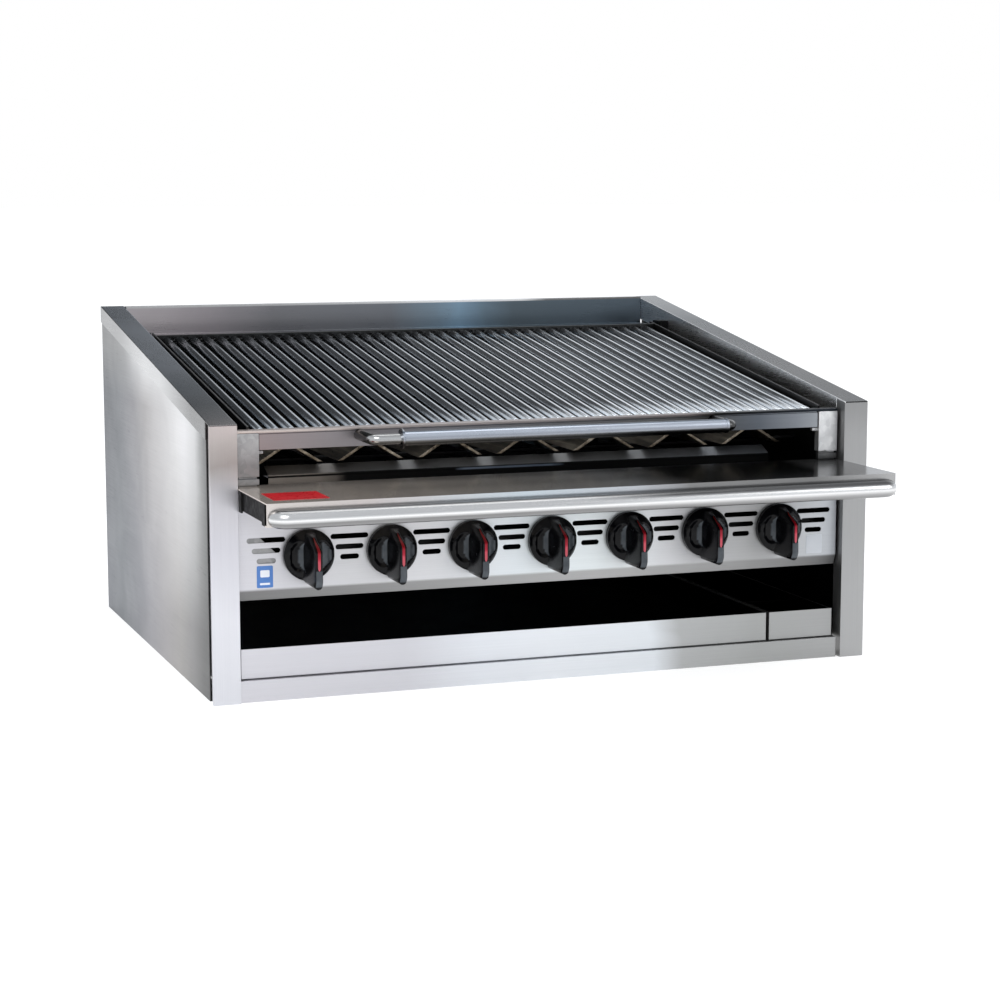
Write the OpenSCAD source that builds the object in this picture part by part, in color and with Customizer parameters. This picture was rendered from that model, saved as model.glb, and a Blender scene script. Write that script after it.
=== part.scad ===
// Countertop gas charbroiler: a sheet-steel firebox with seven tube burners, seven radiants,
// a sloping rod grid that lifts from the front, a mirror-polished front ledge and two drip trays.
// Millimetres. X is left to right, +Y is towards the rear, +Z is up.
// Lengths along Y below are counted from the front face of the corner posts.

/* [Overall] */
// outside width over the two side panels
width = 914.4; // [900:0.1:930]
// depth of the side panels, front to rear
side_depth = 720; // [710:1:730]
// height at the front of the top caps
front_height = 353.3; // [350:0.1:357]
// height at the rear of the top caps
rear_height = 461.2; // [458:0.1:464]

/* [Sheet work] */
// sheet thickness of the body panels
sheet = 1.5; // [1.2:0.1:1.8]
// width of a corner post and of a top cap
post_width = 35.2; // [34:0.1:36]
// depth of the inner return at the back of a corner post
post_return = 24; // [20:1:24]
// depth of the outer lip of a corner post, in front of its recessed strip
post_lip = 6; // [5:0.5:8]
// how far the strip between post and side panel is set back
strip_recess = 4; // [3:0.5:5]
// distance from the front of the post to the front edge of the side panel
panel_start = 28; // [27:1:30]
// height of the outer down-flange of a top cap
cap_outer_flange = 24; // [18:1:30]
// height of the inner down-flange of a top cap
cap_inner_flange = 34; // [30:1:38]

/* [Front ledge] */
// height of the top of the ledge
ledge_height = 273; // [272.6:0.1:273.4]
// distance the ledge stands out in front of the posts
ledge_out = 142; // [130:1:150]
// height of the flange at the front of the ledge
ledge_flange = 28.6; // [24:0.1:30]
// radius of the round bumper rail along the ledge
bumper_radius = 11; // [9:0.5:12]

/* [Control panel] */
// distance between neighbouring knobs
knob_pitch = 110; // [109:0.5:111]
// height of the knob centres
knob_height = 184; // [183:0.5:185]
// radius of the round skirt of a knob
knob_radius = 33; // [30:0.5:34]
// width of a vent slot, which is also twice its end radius
slot_width = 6.7; // [5:0.1:8]

/* [Grid] */
// diameter of one grid rod
rod_diameter = 12.7; // [12:0.1:13]
// distance between neighbouring rods
rod_pitch = 20.2; // [20:0.05:20.3]
// height of the top of the rods at their front ends
grid_front_height = 343.5; // [343:0.1:344]
// height of the top of the rods at their rear ends
grid_rear_height = 421; // [419:0.5:422]

/* [Trays] */
// height of the underside of both trays
tray_bottom = 29.7; // [29:0.1:31]
// height of the tray walls
tray_wall = 37.7; // [30:0.1:38]
// distance from the centre to the right edge of the drip tray
tray_split = 313; // [312:0.5:313.5]

/* [Hidden] */
$fn = 48;
t = sheet;
half = width / 2;
inner = half - post_width;
rods = 39;
knobs = 7;
rod_r = rod_diameter / 2;
rod_front_y = 36;
rod_rear_y = 592;
lift = atan((grid_rear_height - grid_front_height) / (rod_rear_y - rod_front_y));
rod_length = (rod_rear_y - rod_front_y) / cos(lift);
pivot_s = rod_length + 10.6;
pivot_y = rod_front_y + pivot_s * cos(lift) + rod_r * sin(lift);
pivot_z = grid_front_height + pivot_s * sin(lift) - rod_r * cos(lift);
bumper_y = -ledge_out - bumper_radius - 0.5;
bumper_z = ledge_height - 18.5;
y_shift = -(side_depth - ledge_out - 2 * bumper_radius - 0.5) / 2;
panel_y = 13.6;
manifold_y = 62;
burner_z = 236;
handle_y = -45;
handle_z = 332.8;
handle_r = 7;
handle_bend = 8;
handle_left = -260;
handle_right = 232.5;
grip_half = 224.5;
pipe_x = 395;
pipe_r = 13.35;
steel = [0.76, 0.77, 0.79];
dark = [0.30, 0.31, 0.33];
iron = [0.22, 0.22, 0.23];
tan = [0.72, 0.66, 0.55];
black = [0.06, 0.06, 0.07];
brass = [0.72, 0.60, 0.34];

function cap_z(y) = front_height + (rear_height - front_height) * y / side_depth;
function knob_x(n) = (n - (knobs + 1) / 2) * knob_pitch;

module placed() translate([0, y_shift, 0]) children();
module along_x(x0, x1) translate([x0, 0, 0]) rotate([90, 0, 90]) linear_extrude(x1 - x0) children();
module along_y(y0, y1) translate([0, y1, 0]) rotate([90, 0, 0]) linear_extrude(y1 - y0) children();
module block(x0, x1, y0, y1, z0, z1) translate([x0, y0, z0]) cube([x1 - x0, y1 - y0, z1 - z0]);
module bar_x(x0, x1, y, z, r) translate([x0, y, z]) rotate([0, 90, 0]) cylinder(h = x1 - x0, r = r);
module bar_y(y0, y1, x, z, r) translate([x, y0, z]) rotate([-90, 0, 0]) cylinder(h = y1 - y0, r = r);
module bar_z(z0, z1, x, y, r) translate([x, y, z0]) cylinder(h = z1 - z0, r = r);
module left() mirror([1, 0, 0]) children();
module grid_frame() translate([0, rod_front_y, grid_front_height]) rotate([lift, 0, 0]) children();
module each_knob() for (n = [1 : knobs]) translate([knob_x(n), 0, 0]) children();

// ---- outer casing ----
module side_panel() placed() {
  along_x(half - 2 * t - 0.1, half - t - 0.1)
    polygon([[panel_start, 0], [side_depth, 0], [side_depth, cap_z(side_depth) - t - 0.1],
      [panel_start, cap_z(panel_start) - t - 0.1]]);
}
module inner_wall() placed() {
  along_x(inner + t + 0.1, inner + 2 * t + 0.1)
    polygon([[post_return + 0.4, 4], [700, 4], [700, cap_z(700) - t - 0.1],
      [post_return + 0.4, cap_z(post_return) - t - 0.1]]);
}
module cap_flange(x0, drop) along_x(x0, x0 + t)
  polygon([[post_return + 0.2, cap_z(post_return) - drop], [side_depth, cap_z(side_depth) - drop],
    [side_depth, cap_z(side_depth)], [post_return + 0.2, cap_z(post_return + 0.2)]]);
module top_cap() placed() {
  along_x(inner, half)
    polygon([[0, cap_z(0) - t], [side_depth, cap_z(side_depth) - t], [side_depth, cap_z(side_depth)], [0, cap_z(0)]]);
  cap_flange(half - t, cap_outer_flange);
  cap_flange(inner, cap_inner_flange);
}
module front_post() placed() intersection() {
  union() {
    block(inner, half, 0, t, 0, front_height);
    block(half - t, half, 0, post_lip, 0, cap_z(panel_start));
    block(half - strip_recess - t, half, post_lip - t, post_lip, 0, cap_z(panel_start));
    block(half - strip_recess - t, half - strip_recess, post_lip, panel_start, 0, cap_z(panel_start));
    block(inner, inner + t, 0, post_return, 0, cap_z(post_return));
  }
  along_x(inner - 1, half + 1)
    polygon([[-1, -1], [panel_start + 1, -1], [panel_start + 1, cap_z(panel_start + 1) - t], [-1, cap_z(-1) - t]]);
}
module left_side_panel() color(steel) left() side_panel();
module right_side_panel() color(steel) side_panel();
module left_inner_wall() color(steel) left() inner_wall();
module right_inner_wall() color(steel) inner_wall();
module left_top_cap() color(dark) left() top_cap();
module right_top_cap() color(steel) top_cap();
module left_front_post() color(steel) left() front_post();
module right_front_post() color(steel) front_post();

module rear_panel() color(steel) placed() difference() {
  block(-inner + 0.2, inner - 0.2, 690, 690 + t, 6, 416);
  bar_y(685, 695, pipe_x, knob_height, pipe_r + 2);
  for (x = [-330 : 60 : 330]) translate([x, 685, 300]) cube([6, 10, 70]);
}
module rear_splash() color(steel) placed() along_x(-inner + 0.1, inner - 0.1)
  polygon([[636, 417.5], [700 + t, 417.5], [700 + t, 459.3], [714.5, 459.3], [714.5, 425], [716, 425],
    [716, 460.8], [700, 460.8], [700, 417.5 + t], [636, 417.5 + t]]);

// ---- base ----
module base_frame() color(steel) placed() difference() {
  union() {
    block(-half + 3.3, -inner - 4.6, 29, 700, 0, 3);
    block(inner + 4.6, half - 3.3, 29, 700, 0, 3);
    block(-half + 3.3, half - 3.3, 660, 700, 0, 3);
  }
  for (x = [-1, 1]) for (y = [60, 660 - 20]) bar_z(-1, 4, x * (half - 17.5), y, 5.5);
}
module base_front_rail() color(steel) placed() difference() {
  block(-inner + 0.2, inner - 4, 4.7, 29.7, 0, 28);
  block(-inner - 1, inner, 4.7 + t, 40, t, 28 - t);
}
module tray_runners() color(steel) placed() {
  block(-inner - 1.5, -inner + 17, 30, 640, 27, 28.5);
  block(inner - 17, inner + 1.5, 30, 640, 27, 28.5);
  block(tray_split - 13, tray_split + 18, 30, 640, 27, 28.5);
  block(tray_split - 1, tray_split + 6, 661, 689, 3, 27);
  block(tray_split - 1, tray_split + 6, 640, 689, 27, 28.5);
}

// ---- firebox ----
module firebox_front_wall() color(dark) placed() difference() {
  union() {
    block(-inner + 0.2, inner - 0.2, 100, 100 + t, 150, 256);
    along_x(-358, 358) polygon([[100, 250], [100 + t, 250], [100 + t, 274], [122.2, 283.2], [121.6, 284.6],
      [100, 275]]);
  }
  each_knob() bar_y(95, 105, 0, burner_z, 20);
  bar_y(95, 105, pipe_x, knob_height, pipe_r + 2);
}
module firebox_rear_wall() color(dark) placed() block(-inner + 0.2, inner - 0.2, 630, 630 + t, 204, 416);
module radiant_rails() color(dark) placed() {
  block(-inner - 1.5, inner + 1.5, 150, 168, 286, 289.9);
  block(-inner - 1.5, inner + 1.5, 560, 578, 286, 289.9);
}
module radiants() color(tan) placed() each_knob() along_y(100, 600)
  polygon([[-45, 290], [0, 318], [45, 290], [38, 290], [0, 313.6], [-38, 290]]);
module burners() color(iron) placed() each_knob() difference() {
  union() {
    bar_y(58, 72, 0, burner_z, 19);
    bar_y(72, 104, 0, burner_z, 15);
    bar_y(100 + t, 107, 0, burner_z, 23);
    bar_y(104, 612, 0, burner_z, 18);
    bar_y(612, 630, 0, burner_z, 5);
  }
  bar_y(57, 92, 0, burner_z, 12);
  for (a = [-1, 1]) translate([a * 7 - 1.5, 130, burner_z + 12]) cube([3, 450, 10]);
}

// ---- front ----
module slot(x, z, length) {
  translate([x - length / 2 + slot_width / 2, z - slot_width / 2]) square([length - slot_width, slot_width]);
  for (s = [-1, 1]) translate([x + s * (length - slot_width) / 2, z]) circle(r = slot_width / 2);
}
module slot_group(x) {
  slot(x, 204.5, 50);
  slot(x, 191, 37);
  slot(x, 178, 25);
}
module control_panel() color(steel) placed() difference() {
  along_x(-inner + 3, inner - 3)
    polygon([[panel_y, 142], [panel_y, 271], [27, 271], [27, 271 - t], [panel_y + t, 271 - t],
      [panel_y + t, 142.3], [panel_y + 6.8, 128 + t], [40, 128 + t], [40, 128], [panel_y + 5.6, 128]]);
  along_y(panel_y - 2, panel_y + 3) union() {
    for (x = [-2.5 : 1 : 2.5]) slot_group(x * knob_pitch);
    for (s = [-1, 1]) slot_group(s * 384);
    each_knob() translate([0, knob_height]) circle(r = 9);
  }
}
module front_ledge() color(steel) placed() along_x(-inner + 0.1, inner - 0.1)
  polygon([[-ledge_out, ledge_height], [28, ledge_height], [98, ledge_height - 10], [98, ledge_height - 10 - t],
    [28, ledge_height - t], [-ledge_out + t, ledge_height - t], [-ledge_out + t, ledge_height - ledge_flange + t],
    [-ledge_out + 10, ledge_height - ledge_flange + t], [-ledge_out + 10, ledge_height - ledge_flange],
    [-ledge_out, ledge_height - ledge_flange]]);
module ledge_arms() color(dark) placed() for (x = [-397, -2, 395]) along_x(x, x + 2)
  polygon([[panel_y, 240], [panel_y, ledge_height - t], [-ledge_out + t, ledge_height - t], [-ledge_out + t, 250]]);
module ledge_end_cap() placed() {
  block(inner - 3.6, inner - 2.6, -ledge_out + 1.6, -0.5, ledge_height - ledge_flange + 2, ledge_height - t);
  difference() {
    block(inner - 2.6, inner - 0.1, -ledge_out + 10.1, -0.5, ledge_height - ledge_flange, ledge_height - t);
    block(inner - 4, inner + 1, -ledge_out + 25, -14, ledge_height - ledge_flange - 1, ledge_height - 3);
  }
}
module left_ledge_end_cap() color(dark) left() ledge_end_cap();
module right_ledge_end_cap() color(steel) ledge_end_cap();
module bumper_end() translate([inner - 24, -ledge_out, bumper_z]) rotate([0, 0, -90]) rotate_extrude(angle = 90)
  translate([bumper_radius + 0.5, 0]) circle(r = bumper_radius);
module ledge_bumper() color(steel) placed() {
  bar_x(-inner + 24, inner - 24, bumper_y, bumper_z, bumper_radius);
  bumper_end();
  left() bumper_end();
  for (x = [-330 : 220 : 330]) bar_y(bumper_y, -ledge_out, x, bumper_z, 5);
}
module panel_screws() color(steel) placed() {
  for (x = [-400 : 160 : 400]) for (z = [24, 400]) bar_y(690 + t, 693 + t, x, z, 4.5);
  for (s = [-1, 1]) for (z = [120, 270]) bar_y(690 + t, 693 + t, s * 410, z, 4.5);
}

module panel_gusset() color(steel) placed() along_y(panel_y + t, panel_y + 2 * t)
  polygon([[-416, 164], [-347, 164], [-416, 232]]);
module label_plates() color("silver") placed() {
  block(-407, -336, -117, -52, ledge_height, ledge_height + 0.4);
  block(-396.5, -375.5, panel_y - 0.4, panel_y, 144, 172);
  block(374, 398, panel_y - 0.4, panel_y, 145, 171);
}

// ---- grid supports ----
module grid_bracket() placed() {
  difference() {
    block(391, 419, 15, 27, 285, 339.6);
    block(393, 417, 17, 28, 284, 337.6);
  }
  block(393, 417, 19, 27, ledge_height, 287);
  block(391, 419, 15.5, 19, ledge_height + 2, 282);
  block(384, 391, 21, 27, 313, 317);
}
module left_grid_bracket() color(dark) left() grid_bracket();
module right_grid_bracket() color(steel) grid_bracket();
module grid_hinge_brackets() color(dark) placed() for (s = [0, 1]) mirror([s, 0, 0]) difference() {
  block(407, inner, pivot_y - 13, pivot_y + 13, pivot_z - 12, pivot_z + 12);
  bar_x(406, inner - 2, pivot_y, pivot_z, 5.05);
}

// ---- gas train ----
module manifold_shape(grow) bar_x(-372, 375, manifold_y, knob_height, pipe_r + grow);
module gas_manifold() color(iron) placed() manifold_shape(0);
module gas_valves() color(brass) placed() difference() {
  each_knob() difference() {
    union() {
      bar_y(20, manifold_y, 0, knob_height, 11);
      bar_z(knob_height + 6, burner_z, 0, 34, 6);
      translate([0, 34, burner_z]) sphere(r = 6);
      bar_y(34, 54, 0, burner_z, 5);
    }
    bar_y(19, 33, 0, knob_height, 4.05);
  }
  manifold_shape(0);
}
module gas_supply_pipe() color(iron) placed() {
  bar_x(375, pipe_x, manifold_y, knob_height, 17);
  translate([pipe_x, manifold_y, knob_height]) sphere(r = 18);
  bar_y(manifold_y, 645, pipe_x, knob_height, pipe_r);
}
module gas_regulator() color(steel) placed() {
  bar_y(645, 680, pipe_x, knob_height, 20);
  bar_z(knob_height - 34, knob_height, pipe_x, 662, 14);
}
module gas_inlet_nipple() color(iron) placed() difference() {
  bar_y(680, 718, pipe_x, knob_height, pipe_r);
  bar_y(690, 719, pipe_x, knob_height, 10.4);
}
module pilot_tubes() color(steel) placed() {
  bar_x(-340, 372, 84, 205, 4);
  each_knob() bar_z(205, 255, 26, 84, 3);
}

// ---- trays ----
module tray(x0, x1) difference() {
  block(x0, x1, 10, 640, tray_bottom, tray_bottom + tray_wall);
  block(x0 + t, x1 - t, 10 + t, 640 - t, tray_bottom + t, tray_bottom + tray_wall + 1);
}
module drip_tray() color(steel) placed() tray(-inner + 3, tray_split);
module grease_box() color(steel) placed() difference() {
  union() {
    tray(tray_split + 5, inner - 9);
    bar_x(tray_split + 6, tray_split + 10, 60, 62, 4);
    bar_x(inner - 14, inner - 10, 60, 62, 4);
  }
  bar_x(tray_split + 7.5, inner - 11.5, 60, 62, 1.65);
}
module grease_box_bail() color(steel) placed() {
  bar_x(tray_split + 7.7, tray_split + 13, 60, 62, 1.6);
  bar_x(inner - 17, inner - 11.7, 60, 62, 1.6);
  for (x = [tray_split + 13, inner - 17]) {
    bar_y(60, 112, x, 62, 1.6);
    for (y = [60, 112]) translate([x, y, 62]) sphere(r = 1.6);
  }
  bar_x(tray_split + 13, inner - 17, 112, 62, 1.6);
}

// ---- lifting grid ----
module rod_set(r) for (n = [1 : rods])
  bar_y(0, rod_length, (n - (rods + 1) / 2) * rod_pitch, -rod_r, r);
module grid_rods() color(iron) placed() grid_frame() rod_set(rod_r);
module grid_front_rail() color(steel) placed() {
  along_x(-390, 390) polygon([[17, 318.2], [40, 318.2], [40, 320.2], [19, 320.2], [19, 332], [21, 332],
    [21, 341], [19, 341], [19, 338.2], [17, 338.2]]);
  block(-419, 419, 15, 33, 340, 343);
  difference() {
    block(-398.9, 398.9, 40, 44, 318.2, grid_front_height - rod_r);
    grid_frame() rod_set(rod_r);
  }
}
module grid_rear_rail() color(steel) placed() grid_frame() difference() {
  union() {
    block(-398.9, 398.9, rod_length, rod_length + 3, -24, 3);
    block(-398.9, 398.9, rod_length - 12, rod_length, -24, -21);
    block(-398.9, 398.9, rod_length - 12, rod_length - 8, -21, -rod_r);
  }
  rod_set(rod_r);
  for (n = [1 : rods - 1]) bar_y(rod_length - 1, rod_length + 4, (n - rods / 2) * rod_pitch, -3, 2.2);
}
module grid_side_rails() color(steel) placed() for (s = [0, 1]) mirror([s, 0, 0])
  grid_frame() block(399, 402, -1.5, rod_length + 20, -15, 3);
module grid_pivot_pins() color(steel) placed() for (s = [0, 1]) mirror([s, 0, 0])
  bar_x(402, inner - 2.6, pivot_y, pivot_z, 5);

// ---- lift handle ----
module handle_leg(x, turn) {
  translate([x + turn * handle_bend, handle_y + handle_bend, handle_z]) rotate([0, 0, turn > 0 ? 180 : -90])
    rotate_extrude(angle = 90) translate([handle_bend, 0]) circle(r = handle_r);
  bar_y(handle_y + handle_bend, 17, x, handle_z, handle_r);
}
module handle_rod() color(steel) placed() {
  bar_x(handle_left + handle_bend, handle_right - handle_bend, handle_y, handle_z, handle_r);
  handle_leg(handle_left, 1);
  handle_leg(handle_right, -1);
}
module handle_grip() color(steel) placed() difference() {
  union() {
    bar_x(-grip_half, grip_half, handle_y, handle_z, 9.2);
    bar_x(-grip_half, -grip_half + 3, handle_y, handle_z, 13);
    bar_x(grip_half - 4, grip_half, handle_y, handle_z, 9.8);
  }
  bar_x(-grip_half - 1, grip_half + 1, handle_y, handle_z, handle_r + 0.05);
}

// ---- knobs ----
module knob(n) placed() translate([knob_x(n), 0, knob_height]) difference() {
  union() {
    bar_y(4, 12.6, 0, 0, knob_radius);
    translate([0, 4, 0]) rotate([90, 0, 0]) cylinder(h = 8, r1 = knob_radius, r2 = knob_radius - 5);
    along_y(-14, 4) union() {
      circle(r = 22);
      polygon([[-19, -11], [19, -11], [3, -38], [-3, -38]]);
    }
    along_x(-8, 8) polygon([[-13, 25], [-27, 19], [-39, 9], [-42, -12], [-41, -26], [-35, -38], [-13, -38]]);
  }
  bar_y(-8, 13, 0, 0, 4);
}
module valve_stem(n) placed() bar_y(-8, 32, knob_x(n), knob_height, 4);
module knob_1() color(black) knob(1);
module knob_2() color(black) knob(2);
module knob_3() color(black) knob(3);
module knob_4() color(black) knob(4);
module knob_5() color(black) knob(5);
module knob_6() color(black) knob(6);
module knob_7() color(black) knob(7);
module valve_stem_1() color(brass) valve_stem(1);
module valve_stem_2() color(brass) valve_stem(2);
module valve_stem_3() color(brass) valve_stem(3);
module valve_stem_4() color(brass) valve_stem(4);
module valve_stem_5() color(brass) valve_stem(5);
module valve_stem_6() color(brass) valve_stem(6);
module valve_stem_7() color(brass) valve_stem(7);

left_side_panel();
right_side_panel();
left_inner_wall();
right_inner_wall();
left_top_cap();
right_top_cap();
left_front_post();
right_front_post();
rear_panel();
rear_splash();
base_frame();
base_front_rail();
firebox_front_wall();
firebox_rear_wall();
radiant_rails();
radiants();
burners();
control_panel();
front_ledge();
left_ledge_end_cap();
right_ledge_end_cap();
ledge_arms();
ledge_bumper();
left_grid_bracket();
right_grid_bracket();
grid_hinge_brackets();
gas_manifold();
gas_valves();
gas_supply_pipe();
gas_regulator();
gas_inlet_nipple();
pilot_tubes();
tray_runners();
panel_screws();
panel_gusset();
label_plates();
drip_tray();
grease_box();
grease_box_bail();
grid_rods();
grid_front_rail();
grid_rear_rail();
grid_side_rails();
grid_pivot_pins();
handle_rod();
handle_grip();
knob_1();
knob_2();
knob_3();
knob_4();
knob_5();
knob_6();
knob_7();
valve_stem_1();
valve_stem_2();
valve_stem_3();
valve_stem_4();
valve_stem_5();
valve_stem_6();
valve_stem_7();
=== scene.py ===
"""Looks of the countertop gas charbroiler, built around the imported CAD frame."""

import math

import bpy
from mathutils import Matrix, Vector


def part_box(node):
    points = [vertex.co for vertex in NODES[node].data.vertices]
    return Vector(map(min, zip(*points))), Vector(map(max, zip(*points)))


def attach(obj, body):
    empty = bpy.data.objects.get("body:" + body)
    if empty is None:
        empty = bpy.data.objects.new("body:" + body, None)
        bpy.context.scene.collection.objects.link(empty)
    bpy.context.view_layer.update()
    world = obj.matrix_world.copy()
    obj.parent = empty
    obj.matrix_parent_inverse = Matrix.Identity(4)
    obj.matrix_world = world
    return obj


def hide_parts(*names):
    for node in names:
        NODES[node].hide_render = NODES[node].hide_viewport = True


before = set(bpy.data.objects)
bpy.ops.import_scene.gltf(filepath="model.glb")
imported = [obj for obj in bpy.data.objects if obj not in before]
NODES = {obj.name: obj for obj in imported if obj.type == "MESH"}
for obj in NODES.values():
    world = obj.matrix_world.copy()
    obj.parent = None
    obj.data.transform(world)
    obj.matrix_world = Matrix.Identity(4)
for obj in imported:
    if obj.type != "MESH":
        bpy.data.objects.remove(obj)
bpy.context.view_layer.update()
MM = 0.001
BOX = {name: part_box(name) for name in NODES}
Y_FRONT = BOX["left_front_post"][0].y

# ------------------------------------------------------------------ shader helpers


class Graph:
    """A small helper that adds shader nodes and links them."""

    def __init__(self, name):
        self.mat = bpy.data.materials.new(name)
        self.mat.use_nodes = True
        self.tree = self.mat.node_tree
        self.bsdf = self.tree.nodes["Principled BSDF"]

    def add(self, kind, **values):
        node = self.tree.nodes.new(kind)
        for key, value in values.items():
            setattr(node, key, value)
        return node

    def link(self, a, b):
        self.tree.links.new(a, b)

    def place(self):
        return self.add("ShaderNodeTexCoord").outputs["Object"]

    def scaled(self, vector, scale, rotation=(0, 0, 0)):
        node = self.add("ShaderNodeMapping")
        node.inputs["Scale"].default_value = scale
        node.inputs["Rotation"].default_value = rotation
        self.link(vector, node.inputs["Vector"])
        return node.outputs["Vector"]

    def noise(self, vector, scale, detail=4.0, rough=0.55, distort=0.0):
        node = self.add("ShaderNodeTexNoise")
        node.inputs["Scale"].default_value = scale
        node.inputs["Detail"].default_value = detail
        node.inputs["Roughness"].default_value = rough
        node.inputs["Distortion"].default_value = distort
        self.link(vector, node.inputs["Vector"])
        return node.outputs["Fac"]

    def span(self, value, lo, hi, to_lo=0.0, to_hi=1.0):
        node = self.add("ShaderNodeMapRange")
        for key, v in (("From Min", lo), ("From Max", hi), ("To Min", to_lo), ("To Max", to_hi)):
            node.inputs[key].default_value = v
        self.link(value, node.inputs["Value"])
        return node.outputs["Result"]

    def math(self, operation, a, b=None):
        node = self.add("ShaderNodeMath", operation=operation)
        for socket, value in zip(node.inputs, (a, b)):
            if value is None:
                continue
            if isinstance(value, (int, float)):
                socket.default_value = value
            else:
                self.link(value, socket)
        return node.outputs[0]

    def ramp(self, value, stops):
        node = self.add("ShaderNodeValToRGB")
        elements = node.color_ramp.elements
        while len(elements) < len(stops):
            elements.new(0.5)
        for element, (position, colour) in zip(elements, stops):
            element.position = position
            element.color = (*colour, 1)
        self.link(value, node.inputs["Fac"])
        return node.outputs["Color"]

    def mix(self, factor, a, b, blend="MIX"):
        node = self.add("ShaderNodeMix", data_type="RGBA", blend_type=blend)
        for socket, value in ((node.inputs[0], factor), (node.inputs[6], a), (node.inputs[7], b)):
            if isinstance(value, tuple):
                socket.default_value = (*value, 1)
            elif isinstance(value, (int, float)):
                socket.default_value = value
            else:
                self.link(value, socket)
        return node.outputs[2]

    def axis(self, vector, letter):
        node = self.add("ShaderNodeSeparateXYZ")
        self.link(vector, node.inputs[0])
        return node.outputs[letter]

    def bump(self, height, strength, distance=0.0004):
        node = self.add("ShaderNodeBump")
        node.inputs["Strength"].default_value = strength
        node.inputs["Distance"].default_value = distance
        self.link(height, node.inputs["Height"])
        self.link(node.outputs["Normal"], self.bsdf.inputs["Normal"])

    def stops(self, value, stops):
        low, high = stops[0][0], stops[-1][0]
        marks = [((p - low) / (high - low), colour) for p, colour in stops]
        return self.ramp(self.span(value, low, high), marks)

    def paint(self, place, wobble, plan):
        """Slow tone change over a sheet, mostly painted shade and reflections: plan is a list of layers. A
        layer is run(), and a later one covers the earlier ones where its masks (axis, from, to) are 1."""
        colour = None
        for axis, stops, masks in plan:
            layer = self.stops(self.math("ADD", self.axis(place, axis), wobble), stops)
            if colour is None:
                colour = layer
                continue
            cover = None
            for letter, lo, hi in masks:
                step = self.span(self.axis(place, letter), lo, hi)
                cover = step if cover is None else self.math("MULTIPLY", cover, step)
            colour = self.mix(cover, colour, layer)
        return colour


def tone(value, gain=1.0):
    """Linear colour of a display tone (0-255), either one grey or three numbers."""
    rgb = value if isinstance(value, tuple) else (value, value, value)
    return tuple(min(1.0, gain * ((c / 255 + 0.055) / 1.055) ** 2.4) for c in rgb)


def at(axis, mm):
    """Position along an axis in metres; lengths along Y are counted from the front of the posts."""
    return mm * MM + (Y_FRONT if axis == "Y" else 0.0)


def run(axis, *stops, gain=1.0, where=()):
    """One paint layer: tones at distances (mm) along an axis, inside the stretches given by where."""
    marks = [(at(axis, mm), tone(value, gain)) for mm, value in stops]
    return axis, marks, [(letter, at(letter, lo), at(letter, hi)) for letter, lo, hi in where]


def inside(low, high, depth=0.7):
    """Masks that are 1 more than depth (mm) inside a box and 0 on its surface."""
    masks = []
    for letter, lo, hi in zip("XYZ", low, high):
        lo, hi = lo / MM, hi / MM
        if letter == "Y":
            lo, hi = lo - Y_FRONT / MM, hi - Y_FRONT / MM
        masks += [(letter, lo + depth * 0.7, lo + depth), (letter, hi - depth * 0.7, hi - depth)]
    return masks


def grain_scale(direction, fine=900.0, along=6.0):
    """Mapping scale that stretches a noise along one axis, as a brushing belt does."""
    return tuple(along if letter == direction else fine for letter in "XYZ")


# ------------------------------------------------------------------ materials


def steel(name, plan, rough, direction="X", grain=0.10, smudge=0.06, bump=0.05, wander=0.012, metallic=1.0):
    """Brushed or polished sheet steel: fine directional grain, cloudy wipe marks and faint scratches, over
    painted shade and reflections from its plan.
    """
    g = Graph(name)
    place = g.place()
    g.bsdf.inputs["Metallic"].default_value = metallic
    fine = g.noise(g.scaled(place, grain_scale(direction)), 1.0, 5.0, 0.6)
    broad = g.noise(g.scaled(place, grain_scale(direction, 60.0, 3.0)), 1.0, 3.0)
    cloud = g.noise(place, 7.0, 4.0, 0.6, 0.6)
    scratch = g.noise(g.scaled(place, grain_scale(direction, 340.0, 22.0), (0.05, 0.08, 0.06)), 1.0, 2.0)
    base = g.paint(place, g.span(cloud, 0.3, 0.7, -wander, wander), plan)
    streak = g.mix(g.span(fine, 0.3, 0.7, 0.0, grain), base, (0.35, 0.35, 0.36), "MULTIPLY")
    band = g.mix(g.span(broad, 0.35, 0.7, 0.0, grain * 0.9), streak, (0.72, 0.72, 0.74), "MULTIPLY")
    g.link(band, g.bsdf.inputs["Base Color"])
    r = g.math("ADD", g.span(fine, 0.25, 0.75, rough - grain * 0.35, rough + grain * 0.35),
               g.span(cloud, 0.35, 0.75, 0.0, smudge))
    marks = g.span(scratch, 0.66, 0.72, 0.0, 0.06)
    g.link(g.math("ADD", r, marks), g.bsdf.inputs["Roughness"])
    g.bump(g.math("ADD", fine, marks), bump, 0.0002)
    return g.mat


def galvanised(name, plan):
    """Zinc-coated sheet: a patchwork of crystals with dull patches."""
    g = Graph(name)
    place = g.place()
    g.bsdf.inputs["Metallic"].default_value = 0.9
    cells = g.add("ShaderNodeTexVoronoi", feature="F1")
    cells.inputs["Scale"].default_value = 150.0
    g.link(place, cells.inputs["Vector"])
    mark = g.axis(cells.outputs["Color"], "X")
    cloud = g.noise(place, 60.0, 5.0)
    base = g.paint(place, g.span(cloud, 0.3, 0.7, -0.002, 0.002), plan)
    base = g.mix(g.span(mark, 0.0, 1.0, 0.0, 0.30), base, (0.55, 0.56, 0.58), "MULTIPLY")
    base = g.mix(g.span(cloud, 0.35, 0.7, 0.0, 0.45), base, (0.60, 0.61, 0.63), "MULTIPLY")
    g.link(base, g.bsdf.inputs["Base Color"])
    g.link(g.span(g.math("ADD", mark, cloud), 0.3, 1.5, 0.30, 0.50), g.bsdf.inputs["Roughness"])
    g.bump(cloud, 0.08)
    return g.mat


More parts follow.
